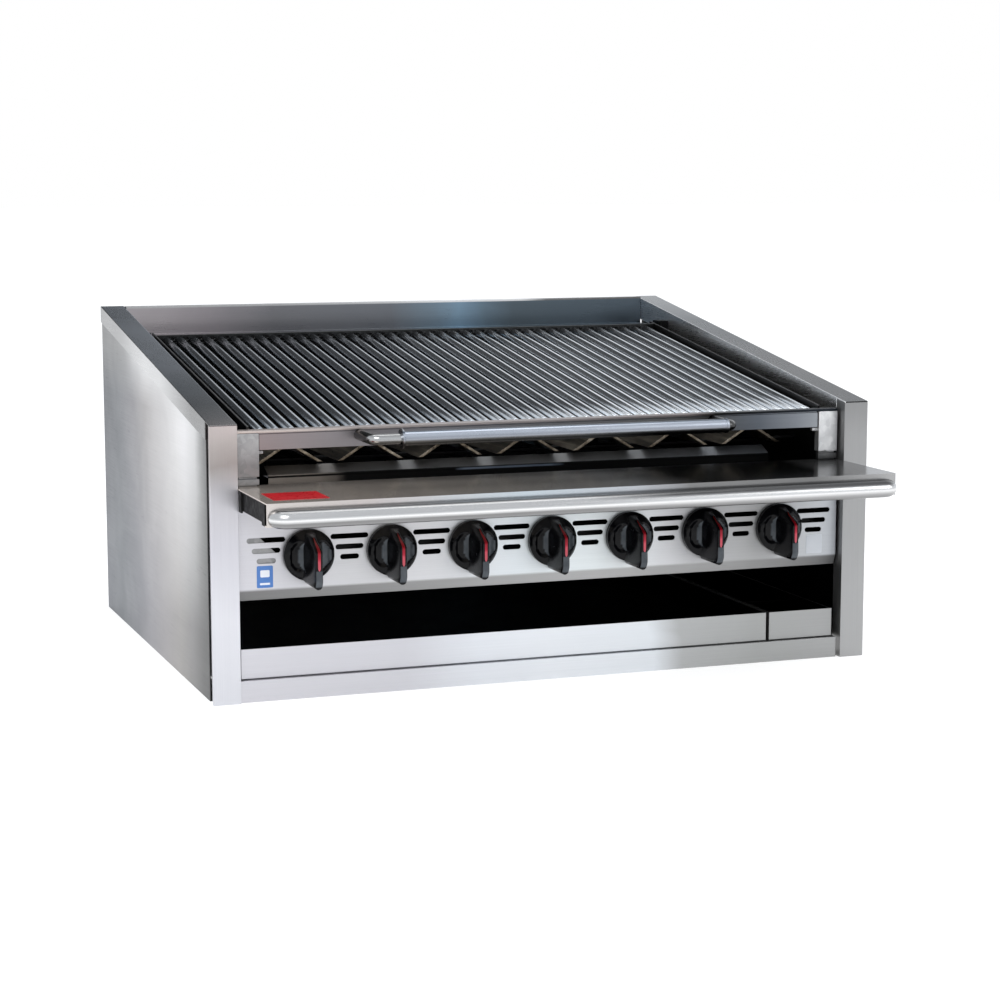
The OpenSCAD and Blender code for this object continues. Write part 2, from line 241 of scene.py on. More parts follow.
def rod_steel(name):
    """Plated round bar: dark smooth body with drawn lines, over a painted reflection that is lighter towards
    the right and shifts a little in patches.
    """
    g = Graph(name)
    place = g.place()
    g.bsdf.inputs["Metallic"].default_value = 1.0
    drawn = g.noise(g.scaled(place, grain_scale("Y", 1400.0, 8.0)), 1.0, 4.0)
    cloud = g.noise(place, 14.0, 4.0)
    dark = g.paint(place, g.span(cloud, 0.3, 0.7, -0.02, 0.02), ROD_PLAN)
    painted_sheen = g.mix(g.span(drawn, 0.35, 0.75, 0.0, 0.35), dark, (0.55, 0.56, 0.57), "MULTIPLY")
    g.link(painted_sheen, g.bsdf.inputs["Base Color"])
    g.link(g.span(g.math("ADD", drawn, cloud), 0.6, 1.4, 0.13, 0.24), g.bsdf.inputs["Roughness"])
    g.bump(drawn, 0.04, 0.0001)
    return g.mat


def tanned(name):
    """Stainless that heat has turned straw-brown, streaked along its length."""
    g = Graph(name)
    place = g.place()
    g.bsdf.inputs["Metallic"].default_value = 1.0
    streak = g.noise(g.scaled(place, (90.0, 7.0, 90.0)), 1.0, 4.0, 0.6, 0.4)
    cloud = g.noise(place, 22.0, 4.0)
    base = g.ramp(g.span(streak, 0.25, 0.75), [(0.0, tone((40, 36, 30))), (0.45, tone((120, 110, 96))),
                                               (0.8, tone((176, 166, 150))), (1.0, tone((226, 220, 206)))])
    # painted shade: the radiants darken towards the rear, further back in the firebox
    rear_painted_shade = [run("Y", (96, 255), (250, 230), (420, 120), (600, 40))]
    shaded_rear = g.paint(place, g.span(cloud, 0.3, 0.7, -0.01, 0.01), rear_painted_shade)
    base = g.mix(1.0, base, shaded_rear, "MULTIPLY")
    patchy = g.mix(g.span(cloud, 0.45, 0.75, 0.0, 0.6), base, (0.30, 0.26, 0.22), "MULTIPLY")
    g.link(patchy, g.bsdf.inputs["Base Color"])
    g.link(g.span(streak, 0.2, 0.8, 0.22, 0.46), g.bsdf.inputs["Roughness"])
    g.bump(streak, 0.12)
    return g.mat


def cast(name, colour, metallic, rough_lo, rough_hi, size=260.0, shine=0.5):
    """Rough cast or painted surface with pits and dusty patches."""
    g = Graph(name)
    place = g.place()
    g.bsdf.inputs["Metallic"].default_value = metallic
    g.bsdf.inputs["Specular IOR Level"].default_value = shine
    grit = g.noise(place, size, 6.0, 0.65)
    cloud = g.noise(place, 20.0, 4.0)
    g.link(g.mix(g.span(cloud, 0.35, 0.7), colour, tuple(min(1.0, c * 1.7 + 0.004) for c in colour)),
           g.bsdf.inputs["Base Color"])
    g.link(g.span(grit, 0.3, 0.7, rough_lo, rough_hi), g.bsdf.inputs["Roughness"])
    g.bump(grit, 0.35)
    return g.mat


def machined(name, colour):
    """Turned metal: fine tool lines and slightly stained patches."""
    g = Graph(name)
    place = g.place()
    g.bsdf.inputs["Metallic"].default_value = 1.0
    lines = g.noise(g.scaled(place, (500.0, 60.0, 500.0)), 1.0, 3.0)
    cloud = g.noise(place, 60.0, 4.0)
    stained = g.mix(g.span(cloud, 0.35, 0.7), colour, tuple(c * 0.6 for c in colour))
    g.link(stained, g.bsdf.inputs["Base Color"])
    g.link(g.span(lines, 0.3, 0.7, 0.22, 0.40), g.bsdf.inputs["Roughness"])
    g.bump(lines, 0.08)
    return g.mat


def knob_black(name):
    """Black moulded plastic: fine skin, finger haze and small scuffs, with a painted grey highlight where the
    mesh attribute marks it.
    """
    g = Graph(name)
    place = g.place()
    haze = g.noise(place, 60.0, 4.0, 0.6)
    skin = g.noise(place, 900.0, 3.0)
    scuff = g.noise(g.scaled(place, (700.0, 90.0, 160.0), (0.3, 0.2, 0.5)), 1.0, 2.0)
    painted_sheen = g.add("ShaderNodeAttribute", attribute_name="painted_sheen").outputs["Fac"]
    black = g.mix(g.span(haze, 0.35, 0.75), (0.0012, 0.0012, 0.0018), (0.0040, 0.0042, 0.0055))
    painted_sheen_grey = g.mix(g.span(haze, 0.35, 0.75), tone((74, 79, 84)), tone((96, 101, 106)))
    g.link(g.mix(painted_sheen, black, painted_sheen_grey), g.bsdf.inputs["Base Color"])
    rough = g.math("ADD", g.span(haze, 0.35, 0.75, 0.14, 0.24), g.span(scuff, 0.66, 0.72, 0.0, 0.12))
    g.link(g.math("ADD", rough, g.span(painted_sheen, 0.0, 1.0, 0.0, 0.3)), g.bsdf.inputs["Roughness"])
    g.bsdf.inputs["Specular IOR Level"].default_value = 0.16
    g.bump(skin, 0.03, 0.0001)
    return g.mat


def enamel(name, colour, edge, rough=0.30):
    """Blank label plate: slightly uneven ink over foil."""
    g = Graph(name)
    place = g.place()
    ink = g.noise(place, 180.0, 4.0)
    cloud = g.noise(place, 26.0, 3.0)
    g.link(g.mix(g.span(cloud, 0.35, 0.7), colour, edge), g.bsdf.inputs["Base Color"])
    g.link(g.span(ink, 0.3, 0.7, rough - 0.06, rough + 0.10), g.bsdf.inputs["Roughness"])
    g.bsdf.inputs["Specular IOR Level"].default_value = 0.2
    g.bump(ink, 0.05)
    return g.mat


def pointer_paint(name):
    """Red pointer line: opaque paint with uneven cover, paler pink on the low part of the ridge."""
    g = Graph(name)
    place = g.place()
    mottle = g.noise(place, 240.0, 4.0)
    wobble = g.span(mottle, 0.3, 0.7, -0.001, 0.001)
    red = g.paint(place, wobble, [run("Z", (170, (196, 92, 104)), (182, (206, 82, 98)), (186, (176, 34, 56)),
                                      (195, (142, 12, 28)), (208, (118, 22, 18)))])
    cover = g.mix(g.span(mottle, 0.3, 0.7, 0.0, 0.25), red, (0.9, 0.7, 0.7), "MULTIPLY")
    g.link(cover, g.bsdf.inputs["Base Color"])
    g.link(g.span(mottle, 0.3, 0.7, 0.25, 0.4), g.bsdf.inputs["Roughness"])
    g.bsdf.inputs["Specular IOR Level"].default_value = 0.2
    g.bump(mottle, 0.08)
    return g.mat


# near-black tone for painted shade: inside the trays and low in the bay and firebox
SHADE_BLACK = 5
# painted reflection: the rods' colour grows lighter towards the right
ROD_PLAN = [run("X", (-400, (158, 164, 170)), (-150, (180, 185, 191)), (150, (232, 236, 240)),
                (400, (206, 210, 214)))]
# painted reflection and shade on both side panels: dark behind the front edge, brightest about 150-200 mm
# back, darker towards the rear
SIDE_PLAN = [
    run("Y", (28, 76), (60, 92), (120, (130, 129, 129)), (200, (155, 152, 150)), (300, (153, 150, 152)),
        (400, (142, 141, 146)), (500, (118, 120, 126)), (600, (98, 103, 109)), (720, (92, 95, 103))),
    run("Y", (28, 106), (55, 155), (90, 210), (150, (230, 229, 230)), (200, (226, 225, 225)),
        (300, (196, 194, 194)), (400, (168, 165, 165)), (500, (135, 134, 138)),
        (600, (106, 109, 114)), (720, (96, 99, 104)),
        where=[("Z", 80, 330)]),
    run("Y", (28, 210), (400, 236), (500, 200), (560, 160), (640, 138), (720, 134), where=[("Z", 340, 410)]),
]
# painted shade: the front sheets are light on the left and darker on the right
FRONT_PLAN = [
    run("X", (-457, (206, 205, 210)), (-200, (205, 205, 210)), (-110, (220, 223, 228)), (0, (224, 227, 231)),
        (140, (219, 223, 227)), (185, (175, 176, 176)), (300, (161, 162, 161)), (457, (160, 160, 160))),
]
# painted shade: the control panel darker on the right, and painted shade on its bent lower strip
PANEL_PLAN = [
    run("X", (-420, (209, 208, 213)), (-275, (210, 210, 212)), (-165, (216, 216, 218)),
        (-55, (224, 229, 232)), (70, (227, 232, 233)), (165, (206, 206, 208)),
        (235, (178, 178, 179)), (300, (174, 174, 174)),
        (420, (184, 187, 191))),
    run("X", (-420, 132), (-275, 148), (-55, 176), (70, 184), (165, 170), (275, 156), (420, 112),
        where=[("Z", 143, 139.5)]),
]
# painted reflection on the left post, darker near 300 mm high; the right post is painted darker as painted
# shade
POST_L_PLAN = [
    run("Z", (0, (213, 214, 219)), (100, (216, 216, 221)), (200, (204, 203, 209)), (255, (202, 200, 204)),
        (300, (163, 157, 154)), (325, (176, 169, 166)), (353, (194, 184, 182))),
]
POST_R_PLAN = [run("Z", (0, 166), (100, 163), (200, 157), (300, 153), (353, 140))]
# painted reflection: the left cap darkest about 100 mm back where it mirrors the dark card, and its outer
# flange painted lighter
CAP_L_PLAN = [
    run("Y", (0, (122, 119, 119)), (30, (104, 104, 106)), (100, (77, 82, 87)), (200, (98, 105, 112)),
        (300, (136, 142, 150)), (420, (166, 172, 180)), (720, (170, 176, 184))),
    run("Y", (0, 110), (100, 116), (300, 206), (400, 206), (600, 154), (720, 149),
        where=[("X", -456.2, -456.6)]),
]
# painted shade on the right cap, and a painted white highlight on its inner flange
CAP_R_PLAN = [
    run("Y", (0, 48), (60, 51), (250, 54), (400, (56, 59, 62)), (520, (66, 70, 74)), (590, (104, 106, 108)),
        (720, (132, 133, 134))),
    run("Y", (24, 255), (720, 255), where=[("X", 423.4, 422.8)]),
]
# painted reflection on the splash and the rear panel: a bluish streak near x 70-150 mm, light falling to dark
# left to right, and a lighter top rim
SPLASH_PLAN = [
    run("X", (-422, (166, 160, 162)), (-300, (143, 138, 141)), (-200, (113, 113, 116)), (0, (109, 112, 117)),
        (70, (112, 128, 140)), (105, (118, 142, 160)), (150, (97, 113, 125)), (200, (84, 94, 101)),
        (300, (82, 92, 100)), (422, (76, 85, 93))),
    run("X", (-422, 172), (-200, 168), (0, 188), (80, 214), (210, 208), (260, 120), (422, 92),
        where=[("Z", 457.6, 458.6)]),
]
# painted reflection on the mirror ledge: light on the left, a black patch from x 150 to 330 mm, lighter again
# at the right; painted tones on its front flange
LEDGE_PLAN = [
    run("X", (-422, (228, 216, 205)), (-330, (222, 210, 199)), (-200, (205, 196, 186)),
        (-60, (180, 176, 171)), (60, (160, 160, 160)), (115, 90), (150, 8), (330, 4), (356, 76), (422, 106)),
    run("X", (-422, (196, 190, 186)), (-300, (184, 178, 176)), (-100, (180, 190, 197)), (60, (172, 175, 180)),
        (130, 122), (300, 112), (422, 160), where=[("Y", -140.8, -141.6)]),
]
# painted reflection and shade on the grid's front rail, darkest near x 230 mm, with its top lip going dark to
# the right
RAIL_PLAN = [
    run("X", (-400, (146, 134, 134)), (-300, (132, 127, 129)), (-150, (124, 124, 128)), (150, 108), (230, 78),
        (300, (90, 95, 102)), (360, (124, 128, 134)), (400, (146, 150, 154))),
    run("X", (-420, (196, 184, 178)), (-300, (182, 172, 168)), (0, (160, 152, 150)), (200, (128, 120, 118)),
        (236, 26), (420, (40, 44, 50)), where=[("Z", 339.2, 339.8)]),
]
# painted shade: the firebox front wall near black; a painted lighter band on its top flange, a painted
# reflection light at the left below it, and a painted bluish highlight line
FIREBOX_PLAN = [
    run("X", (-422, 30), (0, 18), (422, 14)),
    run("X", (-360, (150, 142, 134)), (-200, 150), (-100, 160), (100, 156), (360, (146, 150, 156)),
        where=[("Z", 274.4, 275.4)]),
    run("X", (-360, (168, 160, 152)), (-290, (150, 143, 136)), (-268, (120, 114, 108)), (-255, 30),
        (100, 22), (360, 30), where=[("Z", 249, 251), ("Z", 275.4, 274.4)]),
    run("X", (-100, 22), (-86, (120, 130, 144)), (40, (104, 114, 128)), (56, 22),
        where=[("Z", 270.6, 271.4), ("Z", 274, 273.2)]),
]
# painted shade: the inner walls, runners and base frame near black low down, lighter towards the top
WALL_PLAN = [run("Z", (0, SHADE_BLACK), (260, 10), (330, 46), (420, 70))]
# painted highlight and shade round the bumper tube: bright high on it, darker below and at the very top
TUBE_PLAN = [
    run("Z", (243.5, 120), (246, 150), (250, 134), (252, 190), (254, 230), (257, 188), (260, 188), (262, 190),
        (264, 120), (265.5, 80)),
    run("Z", (243.5, 120), (246, 135), (250, 168), (254, 224), (258, 205), (260, 160), (262, 96), (265.5, 60),
        where=[("X", -20, 100)]),
]
# painted highlight and shade round the handle sleeve: dark low down, a bright band high on it, a dark line
# above that
SLEEVE_PLAN = [run("Z", (323, 26), (327, 52), (329.5, 112), (332, (144, 148, 156)), (338, (176, 182, 192)),
                   (340, (156, 162, 172)), (341.5, (62, 72, 84)), (346, 134))]
# painted highlight and shade round the handle bar: bright about halfway up, dark low down, painted darker at
# the right bend and on the legs by the rail
ROD_BAR_PLAN = [
    run("Z", (325.8, 34), (328.5, 84), (331, 128), (334, 186), (337, 156), (339.8, 90)),
    run("Z", (325.8, 30), (329, 52), (334, 78), (339.8, 60), where=[("X", 221, 226)]),
    run("Z", (325.8, 18), (334, 40), (339.8, 34), where=[("Y", -40, -33)]),
]
GREY_PLAN = [run("X", (-457, 150), (457, 150))]

M = {
    "side": steel("side_panel_steel", SIDE_PLAN, 0.36, "Y", 0.08, 0.08),
    "front": steel("front_brushed_steel", FRONT_PLAN, 0.42, "X", 0.07, 0.05),
    "panel": steel("panel_brushed_steel", PANEL_PLAN, 0.50, "X", 0.06, 0.05),
    "post_left": steel("left_post_steel", POST_L_PLAN, 0.42, "Z", 0.07, 0.05),
    "post_right": steel("right_post_steel", POST_R_PLAN, 0.42, "Z", 0.07, 0.05),
    "cap_left": steel("left_cap_steel", CAP_L_PLAN, 0.26, "Y", 0.08, 0.05),
    "cap_right": steel("right_cap_steel", CAP_R_PLAN, 0.26, "Y", 0.08, 0.05),
    "splash": steel("splash_steel", SPLASH_PLAN, 0.28, "X", 0.08, 0.06),
    "inner": steel("inner_wall_steel", WALL_PLAN, 0.45, "Y", 0.14, 0.12),
    "ledge": steel("mirror_steel", LEDGE_PLAN, 0.17, "X", 0.03, 0.05, 0.01, metallic=0.8),
    "firebox": steel("firebox_steel", FIREBOX_PLAN, 0.60, "X", 0.06, 0.05, 0.02),
    "tube": steel("bumper_steel", TUBE_PLAN, 0.22, "X", 0.03, 0.03, 0.01, 0.0002),
    "sleeve": steel("handle_sleeve_steel", SLEEVE_PLAN, 0.26, "X", 0.10, 0.05, 0.03, 0.0003),
    "bar": steel("handle_bar_steel", ROD_BAR_PLAN, 0.20, "X", 0.06, 0.05, 0.02, 0.0003),
    "rail": steel("grid_rail_steel", RAIL_PLAN, 0.34, "X", 0.08, 0.06, wander=0.004),
    "frame_dark": steel("grid_frame_dark", [run("Y", (0, 60), (720, 42))], 0.34, "Y", 0.12, 0.10),
    # galvanised copies that paint light and shade: the first darkens to black low in the bay, the second is a
    # painted lit copy for the right bracket, the third a painted shaded copy
    "zinc": galvanised("galvanised_sheet", [
        run("Z", (0, SHADE_BLACK), (200, 20), (272, 132), (283, 150), (300, 142), (320, 168), (343, 174))]),
    "zinc_painted_lit": galvanised("galvanised_painted_lit", [
        run("Z", (272, 60), (284, 104), (286, 204), (343, 218))]),
    "zinc_painted_shade": galvanised("galvanised_painted_shade", [run("Z", (0, SHADE_BLACK), (420, 14))]),
    # near-black sheet that paints shade: the open left end of the ledge and the firebox's rear wall
    "black_in_shade": cast("black_in_shade_sheet", (0.0030, 0.0030, 0.0032), 0.3, 0.45, 0.70, 120.0, shine=0.1),
    "zinc_plate": galvanised("galvanised_gusset", GREY_PLAN),
    "rod": rod_steel("grid_rod_steel"),
    "tan": tanned("heat_tanned_steel"),
    "iron": cast("burner_cast_iron", (0.006, 0.006, 0.006), 0.4, 0.55, 0.80),
    "pipe": cast("black_pipe", (0.004, 0.004, 0.0045), 0.2, 0.40, 0.60, 160.0),
    "pipe_rear": cast("black_pipe_end", (0.022, 0.022, 0.024), 0.2, 0.30, 0.50, 160.0),
    "brass": machined("machined_brass", (0.030, 0.023, 0.011)),
    "aluminium": cast("die_cast_aluminium", (0.10, 0.10, 0.105), 0.9, 0.40, 0.60, 200.0),
    "knob": knob_black("knob_black_plastic"),
    "red_line": pointer_paint("pointer_red"),
    "red_plate": enamel("red_label", tone((170, 22, 30)), tone((150, 16, 24))),
    "blue_plate": enamel("blue_label", tone((92, 134, 196)), tone((78, 120, 186))),
    "pale_plate": enamel("pale_label", tone((190, 194, 200)), tone((200, 203, 207))),
    "white_ink": enamel("white_ink", tone((236, 238, 244)), tone((224, 228, 238))),
}


def tray_steel(name, node):
    """Tray sheet: the front sheets' painted tones outside, painted shade in black inside, and a grey band
    along the top of the rim.
    """
    low, high = BOX[node]
    # painted shade: black over every inside face of the tray
    inside_shade = run("X", (-457, SHADE_BLACK), (457, SHADE_BLACK), where=inside(low, high))
    top = high.z / MM
    rim = run("X", (-457, 120), (457, 120), where=[("Z", top - 0.75, top - 0.5), ("Y", 12, 13)])
    return steel(name, [FRONT_PLAN[0], inside_shade, rim], 0.42, "X", 0.07, 0.05)


M["drip"] = tray_steel("drip_tray_steel", "drip_tray")
M["grease"] = tray_steel("grease_box_steel", "grease_box")

LOOKS = {
    "side": ["left_side_panel", "right_side_panel"],
    "post_left": ["left_front_post"],
    "post_right": ["right_front_post"],
    "cap_left": ["left_top_cap"],
    "cap_right": ["right_top_cap"],
    "splash": ["rear_splash", "rear_panel"],
    "inner": ["left_inner_wall", "right_inner_wall", "tray_runners", "base_frame"],
    "ledge": ["front_ledge"],
    "firebox": ["firebox_front_wall"],
    "panel": ["control_panel"],
    "front": ["base_front_rail"],
    "drip": ["drip_tray"],
    "grease": ["grease_box", "grease_box_bail"],
    "rail": ["grid_front_rail"],
    "frame_dark": ["grid_rear_rail", "grid_side_rails", "grid_pivot_pins"],
    # the galvanised looks below carry painted shade, and the right bracket's look a painted lit copy
    "zinc": ["left_grid_bracket", "right_ledge_end_cap", "panel_screws"],
    "zinc_painted_lit": ["right_grid_bracket"],
    "zinc_painted_shade": ["radiant_rails", "ledge_arms", "grid_hinge_brackets"],
    # near-black painted shade for the ledge's left end and the firebox's rear wall
    "black_in_shade": ["left_ledge_end_cap", "firebox_rear_wall"],
    "zinc_plate": ["panel_gusset"],
    "tan": ["radiants"],
    "iron": ["burners"],
    "pipe": ["gas_manifold", "gas_supply_pipe"],
    "pipe_rear": ["gas_inlet_nipple"],
    "brass": ["gas_valves"] + [f"valve_stem_{n}" for n in range(1, 8)],
    "aluminium": ["gas_regulator", "pilot_tubes"],
}
# looks whose nodes keep their CAD edges: round pieces, and the long flat sheets
PLAIN_EDGES = ("brass", "iron", "pipe", "pipe_rear", "aluminium", "panel", "ledge", "drip", "grease")


def dress(obj, material, bevel=0.0005):
    """Material, smooth shading by angle with flats kept flat, and a small bevel that catches light."""
    obj.data.materials.clear()
    obj.data.materials.append(material)
    if bevel:
        weld = obj.modifiers.new("weld", "WELD")
        weld.merge_threshold = 0.00001
        edge = obj.modifiers.new("edge", "BEVEL")
        edge.width = bevel
        edge.segments = 2
        edge.limit_method = "ANGLE"
        edge.angle_limit = math.radians(50)
    even = obj.modifiers.new("even", "WEIGHTED_NORMAL")
    even.keep_sharp = True
    even.weight = 100
    obj.data.polygons.foreach_set("use_smooth", [True] * len(obj.data.polygons))
    obj.data.set_sharp_from_angle(angle=math.radians(32))


for look, names in LOOKS.items():
    for node in names:
        dress(NODES[node], M[look], 0.0 if look in PLAIN_EDGES else 0.0005)

# ------------------------------------------------------------------ mesh helpers


def mesh_object(name, verts, faces, material, smooth_angle=35):
    mesh = bpy.data.meshes.new(name)
    mesh.from_pydata([tuple(v) for v in verts], [], faces)
    mesh.validate()
    mesh.update()
    obj = bpy.data.objects.new(name, mesh)
    bpy.context.scene.collection.objects.link(obj)
    mesh.materials.append(material)
    mesh.polygons.foreach_set("use_smooth", [True] * len(mesh.polygons))
    mesh.set_sharp_from_angle(angle=math.radians(smooth_angle))
    return obj


def sweep(path, radii, sides=32):
    """Closed round tube along path, with one radius for each point. Returns vertices and faces."""
    verts, faces = [], []
    side = None
    for i, p in enumerate(path):
        ahead = path[min(i + 1, len(path) - 1)] - path[max(i - 1, 0)]
        ahead.normalize()
        if side is None:
            side = ahead.orthogonal().normalized()
        side = (side - ahead * side.dot(ahead)).normalized()
        up = ahead.cross(side)
        for k in range(sides):
            a = 2 * math.pi * k / sides
            verts.append(p + (side * math.cos(a) + up * math.sin(a)) * radii[i])
    for i in range(len(path) - 1):
        for k in range(sides):
            a, b = i * sides + k, i * sides + (k + 1) % sides
            faces.append((a, b, b + sides, a + sides))
    faces.append(tuple(reversed(range(sides))))
    last = (len(path) - 1) * sides
    faces.append(tuple(range(last, last + sides)))
    return verts, faces


def join(parts):
    verts, faces = [], []
    for v, f in parts:
        base = len(verts)
        verts += v
        faces += [tuple(i + base for i in face) for face in f]
    return verts, faces


def turned(start, end, profile, sides=48):
    """Turned solid on the axis from start to end: profile is a list of (distance along it, radius)."""
    along = (end - start).normalized()
    return sweep([start + along * d for d, _ in profile], [r for _, r in profile], sides)


# ------------------------------------------------------------------ grid rods
RODS = 39
ROD_R = 6.35 * MM
lo, hi = BOX["grid_rods"]
span_y, span_z = hi.y - lo.y, hi.z - lo.z
lift = math.atan2(span_z - 2 * ROD_R, span_y)
for _ in range(8):
    lift = math.atan2(span_z - 2 * ROD_R * math.cos(lift), span_y - 2 * ROD_R * math.sin(lift))
rod_axis = Vector((0, math.cos(lift), math.sin(lift)))
rod_up = Vector((0, -math.sin(lift), math.cos(lift)))
rod_length = (span_y - 2 * ROD_R * math.sin(lift)) / math.cos(lift)
first_x, last_x = lo.x + ROD_R, hi.x - ROD_R
END = 0.9 * MM
parts = []
for n in range(RODS):
    x = first_x + (last_x - first_x) * n / (RODS - 1)
    start = Vector((x, lo.y, 0)) + Vector((0, 0, lo.z + 2 * ROD_R * math.cos(lift))) - rod_up * ROD_R
    profile = [(0, ROD_R - END), (END * 0.3, ROD_R - END * 0.3), (END, ROD_R)]
    profile += [(rod_length * k / 6, ROD_R) for k in range(1, 6)]
    profile += [(rod_length - END, ROD_R), (rod_length - END * 0.3, ROD_R - END * 0.3)]
    profile += [(rod_length, ROD_R - END)]
    parts.append(turned(start, start + rod_axis, profile, 28))
rods = mesh_object("grid_bars", *join(parts), M["rod"])
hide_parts("grid_rods")
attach(rods, "lifting_grid")

# ------------------------------------------------------------------ lift handle
lo, hi = BOX["handle_rod"]
HANDLE_R = (hi.z - lo.z) / 2
BEND = 8 * MM
hz, hy, back = (lo.z + hi.z) / 2, lo.y + HANDLE_R, hi.y
LEG_LEFT, LEG_RIGHT = lo.x + HANDLE_R, hi.x - HANDLE_R


def handle_elbow(x, turn):
    """Leg and quarter bend of the handle; turn is +1 where the bar goes on to the right."""
    leg = [Vector((x, back + (hy + BEND - back) * k / 3, hz)) for k in range(3)]
    steps = [math.radians(9 * k) for k in range(11)]
    bend = [Vector((x + turn * BEND * (1 - math.cos(a)), hy + BEND - BEND * math.sin(a), hz)) for a in steps]
    return leg + bend


path = handle_elbow(LEG_LEFT, 1) + list(reversed(handle_elbow(LEG_RIGHT, -1)))
handle = mesh_object("handle_bar", *sweep(path, [HANDLE_R] * len(path), 32), M["bar"])
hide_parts("handle_rod")
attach(handle, "lifting_grid")

lo, hi = BOX["handle_grip"]
RING_R = (hi.z - lo.z) / 2
SLEEVE_R = 9.2 * MM
END_R = 9.8 * MM
BORE_R = HANDLE_R + 0.1 * MM
length = hi.x - lo.x
profile = [(3 * MM, BORE_R), (0, BORE_R), (0, RING_R - 0.7 * MM), (0.7 * MM, RING_R), (2.3 * MM, RING_R),
           (3 * MM, RING_R - 0.7 * MM), (3.1 * MM, SLEEVE_R)]
profile += [(length * k / 8, SLEEVE_R) for k in range(1, 8)]
profile += [(length - 4 * MM, SLEEVE_R), (length - 3.6 * MM, END_R), (length - 0.6 * MM, END_R),
            (length, END_R - 0.6 * MM), (length, BORE_R), (length - 3 * MM, BORE_R)]
start = Vector((lo.x, (lo.y + hi.y) / 2, (lo.z + hi.z) / 2))
grip = mesh_object("handle_sleeve", *turned(start, start + Vector((1, 0, 0)), profile, 48), M["sleeve"])
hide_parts("handle_grip")
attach(grip, "handle_grip")

# ------------------------------------------------------------------ bumper rail on the ledge
lo, hi = BOX["ledge_bumper"]
TUBE_R = (hi.z - lo.z) / 2
ROUND = TUBE_R + 0.5 * MM
bz = (lo.z + hi.z) / 2
by = lo.y + TUBE_R
corner_x = hi.x - TUBE_R - ROUND
back = by + ROUND
path = [Vector((-corner_x - ROUND * math.cos(a), back - ROUND * math.sin(a), bz))
        for a in [math.radians(6 * k) for k in range(16)]]
path += [Vector((corner_x * (2 * k / 8 - 1), by, bz)) for k in range(1, 8)]
path += [Vector((-p.x, p.y, p.z)) for p in reversed(path[:16])]
bumper = mesh_object("bumper_rail", *sweep(path, [TUBE_R] * len(path), 40), M["tube"], 60)
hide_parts("ledge_bumper")
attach(bumper, "casing")

# ------------------------------------------------------------------ knobs
KNOBS = 7
SKIRT_R = 33.0
TIP = -38.0
RIDGE = 54.0


def smooth(a, b, x):
    t = min(1.0, max(0.0, (x - a) / (b - a)))
    return t * t * (3 - 2 * t)


def lens(x, z, cx, cz, half_w, half_h):
    """1 in the middle of an ellipse, falling to 0 on its edge."""
    return max(0.0, 1 - ((x - cx) / half_w) ** 2 - ((z - cz) / half_h) ** 2)


def crescent(x, z, middle, near, far):
    """1 inside a crescent whose two edges reach near and far at mid height and meet at its tips."""
    arc = 1 - ((z + 0.5) / 18.0) ** 2
    if arc <= 0:
        return 0.0
    lo_x, hi_x = sorted((middle + near * arc, middle + far * arc))
    return smooth(lo_x - 0.5, lo_x + 0.5, x) * smooth(hi_x + 0.5, hi_x - 0.5, x)


def knob_painted_sheen(x, z):
    """Strength of the painted highlight: a crescent in each finger dish, the low end of the ridge, and a spot
    near its top.
    """
    painted_sheen = max(crescent(x, z, -9.0, -0.6, -7.2), 1.1 * crescent(x, z, 15.0, 1.0, 13.0))
    nose = smooth(4.6, 3.6, abs(x)) * smooth(-13.0, -14.5, z) * smooth(-36.0, -33.0, z)
    heel = smooth(2.6, 1.6, abs(x)) * smooth(24.5, 25.5, z) * smooth(28.5, 27.5, z)
    return max(painted_sheen, 0.85 * nose, 0.5 * heel)


def knob_depth(x, z):
    """Height of the knob's face above its back, in millimetres, at a point of its front view."""
    rho = math.hypot(x, z)
    edge = min(1.0, rho / SKIRT_R)
    dome = 7.0 + 12.0 * (1 - edge ** 3.2)
    for side in (-1, 1):
        dome -= 6.0 * smooth(0.0, 0.6, lens(x, z, side * 15.0, -1.0, 12.5, 21.0))
    # ridge line: rises from the top of the dome, bends, then runs down to the tip
    ridge = RIDGE - 26.5 * smooth(9.0, 27.0, z) - 5.0 * smooth(-26.0, -39.0, z)
    half = 4.4 + 0.8 * smooth(6.0, -30.0, z) - 1.4 * smooth(14.0, 26.0, z)
    side = smooth(half + 4.6, half - 0.6, abs(x))
    fin = ridge - 1.4 * (x / (half + 0.5)) ** 2
    if z > 24.5:
        side *= 1 - smooth(24.5, 29.5, z)
    return max(dome, dome + (fin - dome) * side)


def outline_low(x):
    """Lower edge of the knob's front view: the round skirt, and the narrow tip below it."""
    circle = -math.sqrt(max(0.0, SKIRT_R ** 2 - x * x))
    w = 5.4
    if abs(x) < w:
        return min(circle, TIP + w - math.sqrt(w * w - x * x))
    return circle


